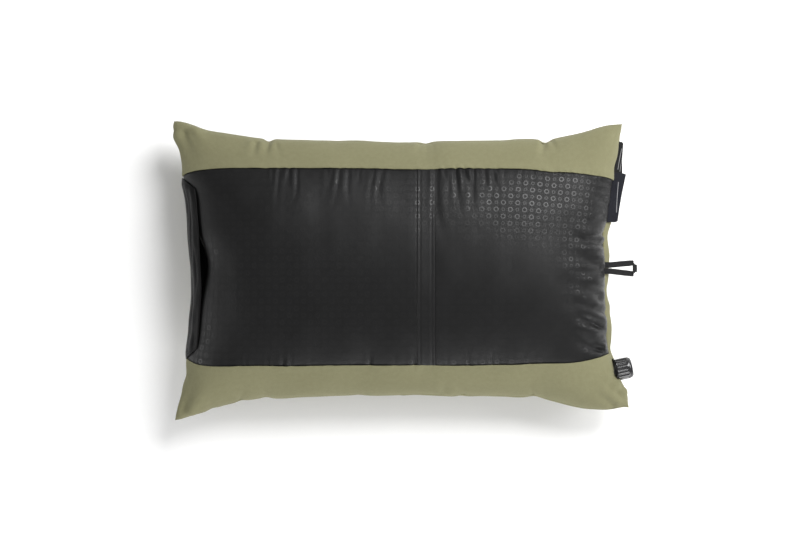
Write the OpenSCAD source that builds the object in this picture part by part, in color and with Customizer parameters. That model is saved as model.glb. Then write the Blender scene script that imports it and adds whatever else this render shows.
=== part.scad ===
// Compressible camp pillow: a two-sided fabric cover with a stuff sack sewn into its back,
// around an air bladder that has a foam layer, baffle webs and a twist valve.
// It lies on its sleeping side. +Z points out of the back, +X towards the valve end.
// The origin is on the resting surface, under the middle of the cover.

/* [Cover] */
// Length of the cover between its corner tips
case_length = 430; // [400:1:460]
// Width of the cover between its corner tips
case_width = 280; // [265:1:300]
// How far inflation draws in the middle of each short side
end_draw = 15; // [10:0.5:18]
// How far inflation draws in the middle of each long side
side_draw = 22; // [16:0.5:26]
// Height of the perimeter seam above the resting surface
seam_height = 46; // [44:0.5:48]
// Height of the back's crown above the perimeter seam
back_rise = 54; // [52:0.5:58]
// Drop of the sleeping side below the seam, before the surface presses it flat
front_drop = 50; // [49:0.5:53]
// Thickness of the cover's fabric
cover_thickness = 1; // [0.8:0.1:1.2]
// Half width of the black back panel at the middle of the pillow
panel_half_width = 95; // [88:1:100]
// How much narrower each half of the back panel is at the short sides
panel_end_taper = 8; // [4:1:12]

/* [Stuff sack] */
// Distance from the pillow's middle to the sack's mouth, as a fraction of half the length
mouth_at = 0.96; // [0.94:0.005:0.965]
// Near edge of the seam band that closes the sack
band_start = 17; // [10:1:25]
// Width of the seam band that closes the sack
band_width = 14; // [10:1:18]
// Depth of the pocket in the middle of the sack
pocket_depth = 15; // [12:0.5:16]
// Depth of the pocket under the mouth, before the crown's taper
mouth_depth = 30; // [24:0.5:31]
// Half length of the fold-over flap where it is sewn to the seam
flap_root_half = 84; // [78:1:90]
// Half length of the fold-over flap at its free edge
flap_edge_half = 73; // [66:1:78]
// Reach of the flap's free edge, as a fraction of half the length
flap_edge_at = 0.9425; // [0.93:0.0025:0.95]
// Clearance between the flap and the sack
flap_gap = 1.6; // [1.2:0.1:2]

/* [Bladder] */
// Inset of the bladder's outer edge from the cover's edge
weld_inset = 7; // [7:0.5:8]
// Width of the bladder's perimeter weld
weld_width = 5; // [4:0.5:6]
// Thickness of a bladder skin
skin_thickness = 0.8; // [0.6:0.1:1]
// Thickness of the foam layer in the middle
foam_thickness = 18; // [12:1:22]
// Distance of the outer baffle webs from the middle, as a fraction of half the length
web_at = 0.62; // [0.55:0.01:0.68]

/* [Valve] */
// Distance of the valve below the middle of the short side
valve_offset = 98; // [92:1:100]
// Turn of the valve's axis towards the middle of the short side, in degrees
valve_turn = 12; // [8:1:14]
// Outer radius of the knob
knob_radius = 10.4; // [10:0.1:11]
// Length of the knob
knob_length = 15; // [14.5:0.5:16]
// Number of grip flutes around the knob
flute_count = 18; // [12:1:20]
// Radius of the knob's smooth nose, where a pump sleeve fits
nose_radius = 9.2; // [9:0.1:9.4]

/* [Trim] */
// Reach of the hang loop beyond the seam
loop_reach = 29; // [26:1:32]
// Width of the hang loop's webbing
loop_webbing = 4.8; // [4:0.1:5.2]
// Middle of the side label along the short side
side_label_y = 68; // [66:1:69]
// Length of the side label along the seam
side_label_length = 46; // [40:1:46]
// Middle of the care label along the short side
care_label_y = 107; // [107:1:108]
// Length of the care label along the seam
care_label_length = 28; // [24:1:28]

/* [Hidden] */
$fn = 64;

olive = "#8f8d6e";
black_fabric = "#2b2b2c";
black_plastic = "#1d1d1f";
tpu_film = "#b9bdb6";
foam_colour = "#d8cf9e";
seal_colour = "#3a3f45";

// Exponents that shape the drawn-in outline between the corner tips
end_curve = 3.5;
side_curve = 4.5;
// Small gap that keeps stacked fabric layers apart
layer_gap = 1.2;
// Slack between the bladder's skins and the parts inside them
inner_gap = 0.6;

skin_inset = weld_inset + weld_width;
foam_inset = skin_inset + 4;
allowance_inset = 3;
allowance_width = 3.5;
back_skin_rise = back_rise - cover_thickness - layer_gap;
front_skin_drop = front_drop - cover_thickness - layer_gap;
front_skin_floor = cover_thickness + 0.5;
foam_floor = front_skin_floor + skin_thickness + 0.5;
foam_drop = front_skin_drop - skin_thickness - inner_gap;

mid_half_length = case_length / 2 - end_draw;
band_end = band_start + band_width;
u_mouth = -mouth_at;
u_band_start = band_start / mid_half_length;
u_band_end = band_end / mid_half_length;

// ---- The pillow's surface ----
// u runs along the length and v across the width, both from -1 to 1.

// Half length of the outline at v
function half_length(v) = case_length / 2 - end_draw * (1 - pow(abs(v), end_curve));

// Half width of the outline at u
function half_width(u) = case_width / 2 - side_draw * (1 - pow(abs(u), side_curve));

// Height of the crown at (u, v), as a fraction of its height in the middle
function crown(u, v) = sqrt(max(0, (1 - pow(u, 4)) * (1 - v * v)));

// Point of a layer that lies inset within the outline and rises by rise at its crown
function layer_point(u, v, inset, rise) = [
    u * (half_length(v) - inset),
    v * (half_width(u) - inset),
    seam_height + rise * crown(u, v)
];

// The same point, kept above a floor
function pressed_point(u, v, inset, rise, floor_z) =
    let (p = layer_point(u, v, inset, rise)) [p.x, p.y, max(floor_z, p.z)];

// Seam line between the olive border and the black panel, as a v value
function panel_seam_v(u) = (panel_half_width - panel_end_taper * pow(u, 4)) / half_width(u);

// How far the pocket pushes the hidden layers down at (u, v)
function pocket_drop(u, v) =
    let (along = max(0, (u_band_start - u) / (u_band_start + 1)))
    let (across = max(0, 1 - pow(abs(v) / panel_seam_v(u), 4)))
    let (closed_end = 1 - pow(1 - along, 6))
    across * (pocket_depth * closed_end + (mouth_depth - pocket_depth) * pow(along, 3));

// Grid lines from a to b, closer together towards the pillow's edges
function grid_lines(a, b, n) =
    [for (k = [0:n]) sin(asin(a) + (asin(b) - asin(a)) * k / n)];
function after_first(list) = [for (k = [1:len(list) - 1]) list[k]];

FLAP_LINES = grid_lines(-1, u_mouth, 3);
SACK_LINES = grid_lines(u_mouth, u_band_start, 12);
BAND_LINES = [u_band_start, u_band_end];
BACK_LINES = grid_lines(u_band_end, 1, 11);
INNER_LINES = concat(FLAP_LINES, after_first(SACK_LINES));
LONG_LINES = concat(INNER_LINES, after_first(BAND_LINES), after_first(BACK_LINES));
CROSS_LINES = grid_lines(-1, 1, 18);
PANEL_LINES = [for (k = [-5:5]) k / 5];
BORDER_CELLS = 4;

// ---- Solids between two layers ----

// A cell at the sheet's corner is split from that corner, so neither half lies flat in the seam's plane
function split_other_way(r, c, rows, cols) =
    (r == 0 && c == cols - 2) || (r == rows - 2 && c == 0);
function upper_faces(rows, cols) = [
    for (r = [0:rows - 2], c = [0:cols - 2])
        let (a = r * cols + c, b = a + 1, d = a + cols, e = d + 1)
        each split_other_way(r, c, rows, cols) ? [[a, b, d], [b, e, d]] : [[a, b, e], [a, e, d]]
];
function lower_faces(rows, cols, first) = [
    for (r = [0:rows - 2], c = [0:cols - 2])
        let (a = first + r * cols + c, b = a + 1, d = a + cols, e = d + 1)
        each split_other_way(r, c, rows, cols) ? [[a, d, b], [b, d, e]] : [[a, e, b], [a, d, e]]
];
function wall_faces(rows, cols, first) = concat(
    [for (r = [0:rows - 2]) let (a = r * cols, d = a + cols)
        each [[a, d, first + d], [a, first + d, first + a]]],
    [for (r = [0:rows - 2]) let (a = (r + 1) * cols - 1, d = a + cols)
        each [[d, a, first + a], [d, first + a, first + d]]],
    [for (c = [0:cols - 2])
        each [[c + 1, c, first + c], [c + 1, first + c, first + c + 1]]],
    [for (c = [0:cols - 2]) let (a = (rows - 1) * cols + c)
        each [[a, a + 1, first + a + 1], [a, first + a + 1, first + a]]]
);

// Closed sheet between two equal grids of points, given as lists of rows
module sheet(upper, lower) {
    rows = len(upper);
    cols = len(upper[0]);
    first = rows * cols;
    points = concat([for (row = upper) each row], [for (row = lower) each row]);
    polyhedron(
        points,
        concat(wall_faces(rows, cols, first), upper_faces(rows, cols), lower_faces(rows, cols, first)),
        convexity = 6
    );
}

// Cover fabric over part of the back; v_lines gives the cross lines at one u
function back_layer(u_lines, v_lines, inset, rise) =
    [for (u = u_lines) [for (v = v_lines(u)) layer_point(u, v, inset, rise)]];

module back_fabric(u_lines, v_lines) {
    sheet(
        back_layer(u_lines, v_lines, 0, back_rise),
        back_layer(u_lines, v_lines, cover_thickness, back_rise - cover_thickness)
    );
}

panel_cross = function (u) [for (s = PANEL_LINES) s * panel_seam_v(u)];
border_cross = function (u) grid_lines(-1, -panel_seam_v(u), BORDER_CELLS);

// Flat ring that follows the outline, from one inset to a deeper one
function outline_points(inset) = concat(
    [for (u = LONG_LINES) [u * (half_length(1) - inset), -(half_width(u) - inset)]],
    [for (v = after_first(CROSS_LINES)) [half_length(v) - inset, v * (half_width(1) - inset)]],
    [for (k = [len(LONG_LINES) - 2:-1:0]) let (u = LONG_LINES[k])
        [u * (half_length(1) - inset), half_width(u) - inset]],
    [for (k = [len(CROSS_LINES) - 2:-1:1]) let (v = CROSS_LINES[k])
        [-(half_length(v) - inset), v * (half_width(1) - inset)]]
);

module outline_ring(inset, width, thickness) {
    translate([0, 0, seam_height - thickness / 2])
        linear_extrude(thickness)
            difference() {
                polygon(outline_points(inset));
                polygon(outline_points(inset + width));
            }
}

// ---- Valve layout, measured along its axis from the cover's edge ----

boat_start = -16;
boat_end = -8;
boat_width = 40;
boat_thickness = 16;
stem_radius = 7;
stem_bore = 5;
stem_end = 13;
head_radius = 8.5;
head_length = 2;
knob_start = 2.3;
knob_lip = 2;
knob_cavity = 8.8;
knob_wall = 3;
air_hole = 3.5;
nose_length = 2.7;
plug_radius = 3.2;
plug_start = 10;
plug_end = knob_start + knob_length - 1.1;
plug_groove_depth = 0.8;
plug_groove_start = plug_end - 1.4;
plug_groove_width = 1;
spoke_length = 2;
spoke_width = 1.6;
seal_start = knob_start + knob_lip + 0.3;
seal_length = 1.6;
port_radius = 9;
flute_radius = 1.1;
cut_margin = 0.2;

module valve_place() {
    translate([half_length(valve_offset / half_width(1)), -valve_offset, seam_height])
        rotate([0, 0, valve_turn])
            rotate([0, 90, 0])
                children();
}

// Hollow round section between two radii, from one height to another
module tube(outer, inner, from, to) {
    translate([0, 0, from])
        difference() {
            cylinder(r = outer, h = to - from);
            translate([0, 0, -1])
                cylinder(r = inner, h = to - from + 2);
        }
}

// Boat-shaped weld flange, pointed at both ends of its width
module boat(width, thickness, from, to) {
    arc = (width * width + thickness * thickness) / (4 * thickness);
    translate([0, 0, from])
        linear_extrude(to - from)
            intersection() {
                translate([arc - thickness / 2, 0])
                    circle(r = arc);
                translate([thickness / 2 - arc, 0])
                    circle(r = arc);
            }
}

module boat_room() {
    valve_place() {
        boat(boat_width + 1, boat_thickness + 2 * cut_margin, boat_start - cut_margin, boat_end + cut_margin);
        translate([0, 0, boat_start - cut_margin])
            cylinder(r = stem_radius + cut_margin, h = stem_end - boat_start);
    }
}

module port_hole() {
    valve_place()
        translate([0, 0, 2 * boat_start])
            cylinder(r = port_radius, h = 3 - 2 * boat_start);
}

// ---- Cover ----

module front_panel() {
    color(olive)
        difference() {
            intersection() {
                sheet(
                    [for (u = LONG_LINES) [for (v = CROSS_LINES)
                        pressed_point(u, v, cover_thickness, cover_thickness - front_drop, cover_thickness)]],
                    [for (u = LONG_LINES) [for (v = CROSS_LINES) layer_point(u, v, 0, -front_drop)]]
                );
                translate([-case_length, -case_width, 0])
                    cube([2 * case_length, 2 * case_width, 2 * seam_height]);
            }
            port_hole();
        }
}

module back_border_upper() {
    color(olive)
        mirror([0, 1, 0])
            back_fabric(LONG_LINES, border_cross);
}

module back_border_lower() {
    color(olive)
        difference() {
            back_fabric(LONG_LINES, border_cross);
            port_hole();
        }
}

module back_panel() {
    color(black_fabric)
        back_fabric(BACK_LINES, panel_cross);
}

module sack_outer_panel() {
    color(black_fabric)
        back_fabric(SACK_LINES, panel_cross);
}

module sack_seam_band() {
    color(black_fabric)
        back_fabric(BAND_LINES, panel_cross);
}

// Hidden wall of the sack: it leaves the pocket between itself and the outer panel
module sack_inner_panel() {
    function hidden_row(u, inset, below) = [
        for (s = PANEL_LINES)
            let (v = s * panel_seam_v(u) * 0.985)
            layer_point(u, v, inset, back_rise - below - pocket_drop(u, v))
    ];
    color(black_fabric)
        sheet(
            [for (u = INNER_LINES) hidden_row(u, cover_thickness + 0.2, cover_thickness + 0.2)],
            [for (u = INNER_LINES) hidden_row(u, 2 * cover_thickness, 2 * cover_thickness)]
        );
}

// Fold-over flap that wraps the end of the pillow and covers the sack's mouth
module sack_flap() {
    flap_lines = grid_lines(-1, -flap_edge_at, 4);
    steps = [for (k = [-7:7]) k / 7];
    function flap_half(u) =
        flap_root_half + (flap_edge_half - flap_root_half) * (u + 1) / (1 - flap_edge_at);
    function flap_row(u, lift) = [
        for (s = steps) layer_point(u, s * flap_half(u) / half_width(u), -lift, back_rise + lift)
    ];
    color(black_fabric)
        sheet(
            [for (u = flap_lines) flap_row(u, flap_gap + cover_thickness)],
            [for (u = flap_lines) flap_row(u, flap_gap)]
        );
}

// Seam allowances of the cover, overlocked together inside the perimeter seam
module cover_seam_allowance() {
    color(olive)
        difference() {
            outline_ring(allowance_inset, allowance_width, 1);
            port_hole();
        }
}

// ---- Bladder ----

module bladder_back_skin() {
    function skin_rows(inset, rise) = [
        for (u = LONG_LINES) [for (v = CROSS_LINES)
            layer_point(u, v, inset, rise - 1.3 * pocket_drop(u, 0.94 * v))]
    ];
    color(tpu_film)
        difference() {
            sheet(
                skin_rows(skin_inset, back_skin_rise),
                skin_rows(skin_inset + skin_thickness, back_skin_rise - skin_thickness)
            );
            boat_room();
        }
}

module bladder_front_skin() {
    color(tpu_film)
        difference() {
            sheet(
                [for (u = LONG_LINES) [for (v = CROSS_LINES)
                    pressed_point(u, v, skin_inset + skin_thickness, skin_thickness - front_skin_drop,
                        front_skin_floor + skin_thickness)]],
                [for (u = LONG_LINES) [for (v = CROSS_LINES)
                    pressed_point(u, v, skin_inset, -front_skin_drop, front_skin_floor)]]
            );
            boat_room();
        }
}

module bladder_perimeter_weld() {
    color(tpu_film)
        difference() {
            outline_ring(weld_inset, weld_width, 1.2);
            boat_room();
        }
}

// Upright web that ties the back skin to the foam and keeps the pillow flat
module baffle_web(u_web) {
    web_lines = grid_lines(-0.93, 0.93, 14);
    half_web = 0.4;
    function web_point(v, side, top) =
        let (foot = layer_point(u_web, v, foam_inset + 1, foam_thickness - foam_drop))
        let (roof = layer_point(u_web, v, foam_inset + 1,
            back_skin_rise - skin_thickness - 1.3 * pocket_drop(u_web, 0.94 * v)))
        [foot.x + side * half_web, foot.y, top ? roof.z - inner_gap : foot.z + inner_gap];
    color(tpu_film)
        sheet(
            [for (side = [-1, 1]) [for (v = web_lines) web_point(v, side, true)]],
            [for (side = [-1, 1]) [for (v = web_lines) web_point(v, side, false)]]
        );
}

// Foam layer on the sleeping side
module foam_topper() {
    foam_long = grid_lines(-1, 1, 18);
    foam_cross = grid_lines(-1, 1, 12);
    color(foam_colour)
        difference() {
            sheet(
                [for (u = foam_long) [for (v = foam_cross)
                    layer_point(u, v, foam_inset + 1, foam_thickness - foam_drop)]],
                [for (u = foam_long) [for (v = foam_cross)
                    pressed_point(u, v, foam_inset, -foam_drop, foam_floor)]]
            );
            boat_room();
        }
}

// ---- Valve ----

// Reinforcing washer where the stem leaves the cover's seam
module valve_port_patch() {
    color(black_fabric)
        valve_place()
            tube(port_radius + 2.4, stem_radius + 0.3, 1, 1.8);
}

// Weld flange, hollow stem and the fixed plug that the knob closes onto
module valve_base() {
    color(black_plastic)
        valve_place() {
            difference() {
                union() {
                    boat(boat_width, boat_thickness, boat_start, boat_end);
                    translate([0, 0, boat_start])
                        cylinder(r = stem_radius, h = stem_end - boat_start);
                    translate([0, 0, stem_end - head_length])
                        cylinder(r = head_radius, h = head_length);
                }
                translate([0, 0, boat_start - 1])
                    cylinder(r = stem_bore, h = stem_end - boat_start + 2);
            }
            difference() {
                translate([0, 0, plug_start])
                    cylinder(r = plug_radius, h = plug_end - plug_start);
                tube(plug_radius + 1, plug_radius - plug_groove_depth,
                    plug_groove_start, plug_groove_start + plug_groove_width);
            }
            for (turn = [0:120:240])
                rotate([0, 0, turn])
                    translate([plug_radius - 0.4, -spoke_width / 2, plug_start])
                        cube([stem_bore - plug_radius + 0.8, spoke_width, spoke_length]);
        }
}

// Rubber ring in the plug's groove, which seals the knob's air hole
module plug_seal() {
    color(seal_colour)
        valve_place()
            tube(air_hole - 0.1, plug_radius - plug_groove_depth + 0.02,
                plug_groove_start + 0.05, plug_groove_start + plug_groove_width - 0.05);
}

// Rubber ring inside the knob, which wipes along the stem
module knob_seal_ring() {
    color(seal_colour)
        valve_place()
            tube(knob_cavity - 0.1, stem_radius + 0.08, seal_start, seal_start + seal_length);
}

// Fluted knob: it unscrews outwards and lifts its air hole off the plug
module valve_knob() {
    knob_end = knob_start + knob_length;
    nose_start = knob_end - nose_length;
    edge = 0.8;
    color(black_plastic)
        valve_place()
            difference() {
                rotate_extrude()
                    polygon([
                        [stem_radius + 0.4, knob_start],
                        [knob_radius - edge, knob_start],
                        [knob_radius, knob_start + edge],
                        [knob_radius, nose_start - edge],
                        [knob_radius - edge, nose_start],
                        [nose_radius, nose_start],
                        [nose_radius, knob_end],
                        [air_hole, knob_end],
                        [air_hole, knob_end - knob_wall],
                        [knob_cavity, knob_end - knob_wall],
                        [knob_cavity, knob_start + knob_lip],
                        [stem_radius + 0.4, knob_start + knob_lip]
                    ]);
                for (k = [0:flute_count - 1])
                    rotate([0, 0, k * 360 / flute_count])
                        translate([knob_radius + 0.4, 0, knob_start - 1])
                            cylinder(r = flute_radius, h = knob_length, $fn = 24);
            }
}

// ---- Trim sewn into the valve end's seam ----

// Point just outside the seam of the valve end, at height y along it
function seam_edge(y) = [half_length(y / half_width(1)) + 0.6, y];

// Flat webbing loop, splayed towards its folded tip
module hang_loop() {
    root = seam_edge(0);
    base_half = 5.7;
    end_half = 8.7;
    tip_half = 3;
    eye_start = 7;
    eye_half = end_half - loop_webbing;
    color(black_fabric)
        translate([root.x, 0, seam_height - 0.6])
            linear_extrude(1.2)
                difference() {
                    polygon([
                        [0, -base_half],
                        [loop_reach - 5, -end_half],
                        [loop_reach - 2, -end_half + 1.6],
                        [loop_reach, -tip_half],
                        [loop_reach, tip_half],
                        [loop_reach - 2, end_half - 1.6],
                        [loop_reach - 5, end_half],
                        [0, base_half]
                    ]);
                    polygon([[eye_start, 0], [loop_reach - 4, -eye_half], [loop_reach - 4, eye_half]]);
                }
}

// Flat label along the seam that reaches out by low at its lower end and by high at its upper end
module seam_label(y_mid, length, low, high, corner) {
    bottom = seam_edge(y_mid - length / 2);
    top = seam_edge(y_mid + length / 2);
    translate([0, 0, seam_height - 0.4])
        linear_extrude(0.8)
            hull() {
                polygon([
                    bottom,
                    [bottom.x + low, bottom.y - 1],
                    [top.x + high, top.y - corner],
                    top
                ]);
                translate([top.x + high - corner, top.y - corner])
                    circle(r = corner, $fn = 24);
            }
}

module side_label() {
    color("#282a34")
        seam_label(side_label_y, side_label_length, 7.5, 13, 0.8);
}

module care_label() {
    color(black_plastic)
        seam_label(care_label_y, care_label_length, 9, 5.5, 2.5);
}

// ---- Nodes ----

front_panel();
back_border_upper();
back_border_lower();
back_panel();
sack_outer_panel();
sack_inner_panel();
sack_seam_band();
sack_flap();
cover_seam_allowance();
bladder_back_skin();
bladder_front_skin();
bladder_perimeter_weld();
baffle_web(-web_at);  // baffle_web_left
baffle_web(0.03);  // baffle_web_middle
baffle_web(web_at);  // baffle_web_right
foam_topper();
valve_port_patch();
valve_base();
plug_seal();
knob_seal_ring();
valve_knob();
hang_loop();
side_label();
care_label();
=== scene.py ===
import math

import bpy
import numpy as np
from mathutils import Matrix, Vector


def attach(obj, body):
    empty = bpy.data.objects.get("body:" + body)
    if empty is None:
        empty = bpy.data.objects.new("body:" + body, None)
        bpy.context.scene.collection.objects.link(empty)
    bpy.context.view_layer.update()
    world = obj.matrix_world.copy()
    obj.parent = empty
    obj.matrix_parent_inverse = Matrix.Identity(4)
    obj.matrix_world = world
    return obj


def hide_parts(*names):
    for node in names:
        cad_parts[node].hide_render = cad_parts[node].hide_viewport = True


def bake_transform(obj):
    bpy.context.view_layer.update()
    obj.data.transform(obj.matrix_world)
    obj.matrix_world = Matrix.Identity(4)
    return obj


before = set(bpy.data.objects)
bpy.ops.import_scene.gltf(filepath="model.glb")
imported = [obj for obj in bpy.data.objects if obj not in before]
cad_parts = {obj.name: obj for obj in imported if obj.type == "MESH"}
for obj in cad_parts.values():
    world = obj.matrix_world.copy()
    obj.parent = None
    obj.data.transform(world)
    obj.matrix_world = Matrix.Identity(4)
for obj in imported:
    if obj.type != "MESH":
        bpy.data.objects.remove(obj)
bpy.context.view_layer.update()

MM = 0.001

# ---- Sizes, in millimetres, on the CAD model's own formulas ----

CASE_LENGTH = 430.0
CASE_WIDTH = 280.0
END_DRAW = 15.0
SIDE_DRAW = 19.5
END_CURVE = 3.5
SIDE_CURVE = 4.8
SEAM_HEIGHT = 46.0
BACK_RISE = 54.0
FRONT_DROP = 50.0
COVER = 1.0
PANEL_HALF_WIDTH = 94.0
LOW_SEAM_SHIFT = 2.2
U_MOUTH = -0.96
U_BAND_START = 0.085
U_BAND_END = 0.155
POCKET_DEPTH = 15.0
MOUTH_DEPTH = 30.0
FLAP_ROOT_HALF = 84.0
FLAP_EDGE_HALF = 73.0
FLAP_EDGE_AT = 0.9425
VALVE_OFFSET = 98.0
VALVE_TURN = math.radians(12)
PRINT_PITCH = 6.6
SEWN_IN = 7.0
FLAP_THICKNESS = 1.1
LOOP_THICKNESS = 0.75
LABEL_THICKNESS = 0.45
KNOB_FLUTES = 12
FLUTE_DEPTH = 0.75

# ---- Stage, in metres ----

FLOOR_SIZE = 60
CAMERA_LENS = 85
CAMERA_HEIGHT = 0.046 + 1.804
CAMERA_SHIFT = 0.0014
WORLD_LIGHT = 0.36


# ---- Numbers over a grid ----

def patchy(x, y, size_x, size_y, seed):
    """Smooth seeded noise from -1 to 1 whose patches are about that size."""
    table = np.random.default_rng(seed).uniform(-1, 1, (96, 96))
    a = np.asarray(x, float) / size_x + 480.0
    b = np.asarray(y, float) / size_y + 480.0
    i, j = np.floor(a).astype(int), np.floor(b).astype(int)
    s, t = a - i, b - j
    s, t = s * s * (3 - 2 * s), t * t * (3 - 2 * t)
    low = table[i % 96, j % 96] * (1 - s) + table[(i + 1) % 96, j % 96] * s
    high = table[i % 96, (j + 1) % 96] * (1 - s) + table[(i + 1) % 96, (j + 1) % 96] * s
    return low * (1 - t) + high * t


def window(x, low, high, soft):
    """1 from low to high, fading to 0 over soft on both sides."""
    rise = np.clip((x - low) / soft + 1, 0, 1)
    fall = np.clip((high - x) / soft + 1, 0, 1)
    both = np.minimum(rise, fall)
    return both * both * (3 - 2 * both)


def hump(x, middle, half):
    return np.exp(-(((x - middle) / half) ** 2))


def even_steps(curve, a, b, cells):
    """Parameters from a to b whose points on the curve are evenly spaced."""
    t = np.linspace(a, b, 3000)
    p = np.stack(curve(t), -1)
    way = np.concatenate([[0], np.cumsum(np.linalg.norm(np.diff(p, axis=0), axis=1))])
    return np.interp(np.linspace(0, way[-1], cells + 1), way, t)


def normals_of(p):
    across = np.gradient(p, axis=0)
    along = np.gradient(p, axis=1)
    n = np.cross(across, along)
    return n / (np.linalg.norm(n, axis=-1, keepdims=True) + 1e-12)


# ---- The pillow's surface ----

def half_length(v):
    return CASE_LENGTH / 2 - END_DRAW * (1 - np.abs(v) ** END_CURVE)


def half_width(u):
    return CASE_WIDTH / 2 - SIDE_DRAW * (1 - np.abs(u) ** SIDE_CURVE)


def crown(u, v):
    return np.sqrt(np.clip((1 - u ** 4) * (1 - v * v), 0, None))


def panel_seam_v(u, shift=0.0):
    taper = np.where(u < 0, 6.5 * np.abs(u) ** 18, 10 * u ** 4)
    return (PANEL_HALF_WIDTH - shift - taper) / half_width(u)


def pocket_drop(u, v):
    along = np.clip((U_BAND_START - u) / (U_BAND_START + 1), 0, None)
    across = np.clip(1 - (np.abs(v) / panel_seam_v(u)) ** 4, 0, None)
    closed_end = 1 - (1 - along) ** 6
    return across * (POCKET_DEPTH * closed_end + (MOUTH_DEPTH - POCKET_DEPTH) * along ** 3)


def layer(u, v, inset, rise):
    x = u * (half_length(v) - inset)
    y = v * (half_width(u) - inset)
    return np.stack([x, y, SEAM_HEIGHT + rise * crown(u, v)], -1)


# How far each corner's tip sits from the plain outline, and how blunt it is: sides, x, y, reach, bluntness
CORNER_PULLS = [
    (-1, 1, -1.6, 0.4, 13, 1.0), (1, 1, -1.6, -2.4, 20, 0.5),
    (-1, -1, -1.4, -2.6, 16, 0.6), (1, -1, 2.4, 7.0, 15, 0.0),
]
# Where a short side stands out or in: side of the length, y, half width, amount
END_FLARES = [
    (-1, 122, 20, 4.4), (-1, 86, 18, 3.6), (-1, -20, 38, -3.8), (1, -118, 16, 6.8), (1, -15, 60, -5.6),
    (1, 30, 20, -3.6), (1, 108, 14, 1.2), (1, -74, 14, -1.8),
]
# Where a long side stands out or in: side of the width, x, half width, amount
SIDE_FLARES = [
    (1, -202, 14, 2.8), (1, -160, 26, 1.6), (1, 194, 18, 2.5), (-1, -190, 34, 6.2), (-1, 172, 28, 5.3),
    (-1, -105, 40, 1.8), (-1, 40, 60, 0.9), (-1, 12, 24, -1.2), (1, 12, 34, -2.0), (1, 140, 13, -1.8),
]
# Nicks where the perimeter seam puckers: side of the width, x, half width, depth
SEAM_NICKS = [
    (1, -125, 4.0, 2.2), (1, 25, 5, 1.4), (1, 139, 5.0, 3.0), (-1, -180, 5, 1.0), (-1, -152, 5, 1.4),
    (-1, -128, 5, 1.2), (-1, 58, 6, 0.9), (-1, 128, 8, 1.8), (1, -60, 7, 0.4), (-1, -40, 7, 0.6),
]
# Nicks along the two short sides: side of the length, y, half width, depth
END_NICKS = [
    (1, 33, 6, 0.8), (1, -18, 5, 1.0), (1, -42, 5, 0.9), (1, -64, 6, 1.1), (1, 96, 6, 0.6),
    (-1, 112, 6, 0.8), (-1, -100, 6, 1.2),
]


def settled(p, u, v):
    """The outline's own irregularities: flared ends, pulled corners, nicks and a slight wave."""
    p = p.copy()
    x, y = p[..., 0].copy(), p[..., 1].copy()
    wide_v = np.exp(-(1 - np.abs(v)) * 118 / 45)
    wide_u = np.exp(-(1 - np.abs(u)) * 200 / 40)
    for side, at, half, amount in END_FLARES:
        p[..., 0] += side * amount * hump(y, at, half) * wide_u * (u * side > 0)
    for side, at, half, amount in SIDE_FLARES:
        p[..., 1] += side * amount * hump(x, at, half) * wide_v * (v * side > 0)
    for side_x, side_y, pull_x, pull_y, reach, blunt in CORNER_PULLS:
        off = (x - side_x * 215) ** 2 + (y - side_y * 140) ** 2
        tip = blunt * np.exp(-off / 5.5 ** 2)
        p[..., 0] += pull_x * np.exp(-off / reach ** 2) - side_x * 2.6 * tip
        p[..., 1] += pull_y * np.exp(-off / reach ** 2) - side_y * 1.6 * tip
    edge_v = np.exp(-(1 - np.abs(v)) * 118 / 13) * np.clip((1 - np.abs(u)) * 12, 0, 1)
    edge_u = np.exp(-(1 - np.abs(u)) * 200 / 10) * np.clip((1 - np.abs(v)) * 10, 0, 1)
    for side, at, half, depth in SEAM_NICKS:
        p[..., 1] -= side * depth * hump(x, at, half) * edge_v * (v * side > 0)
    for side, at, half, depth in END_NICKS:
        p[..., 0] -= side * depth * hump(y, at, half) * edge_u * (u * side > 0)
    p[..., 1] += np.sign(v) * 0.6 * patchy(x, v * 4, 19, 3, 11) * edge_v
    p[..., 0] += np.sign(u) * 0.6 * patchy(y, u * 4, 15, 3, 12) * edge_u
    p[..., 2] += 0.9 * patchy(x, y, 26, 26, 13) * np.maximum(edge_v, edge_u)
    return p


# ---- Cloth: a grid of points whose threads keep their cut length ----

def pull_together(q, free, one, two, rest, stiffness):
    gap = q[two] - q[one]
    length = np.sqrt(np.einsum("ijk,ijk->ij", gap, gap)) + 1e-9
    a, b = free[one], free[two]
    pull = (stiffness * (length - rest) / (length * (a + b + 1e-9)))[..., None] * gap
    q[one] += a[..., None] * pull
    q[two] -= b[..., None] * pull


def thread_groups(base, extra_x, extra_y):
    """Neighbouring points and their rest lengths, in groups where no point is in two threads."""
    every = slice(None)
    groups = []

    def group(one, two, extra, stiffness):
        rest = np.linalg.norm(base[two] - base[one], axis=-1) * (1 + extra[one])
        groups.append((one, two, rest, stiffness))

    for k in (0, 1):
        rows, cols = base.shape[:2]
        ends_r = rows - 1 - (rows - 1 - k) % 2
        ends_c = cols - 1 - (cols - 1 - k) % 2
        low_r, high_r = slice(k, ends_r, 2), slice(k + 1, ends_r + 1, 2)
        low_c, high_c = slice(k, ends_c, 2), slice(k + 1, ends_c + 1, 2)
        group((low_r, every), (high_r, every), extra_x, 1.0)
        group((every, low_c), (every, high_c), extra_y, 1.0)
        both = (extra_x + extra_y) / 2
        group((low_r, slice(0, -1)), (high_r, slice(1, None)), both, 0.12)
        group((low_r, slice(1, None)), (high_r, slice(0, -1)), both, 0.12)
    return groups


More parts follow.
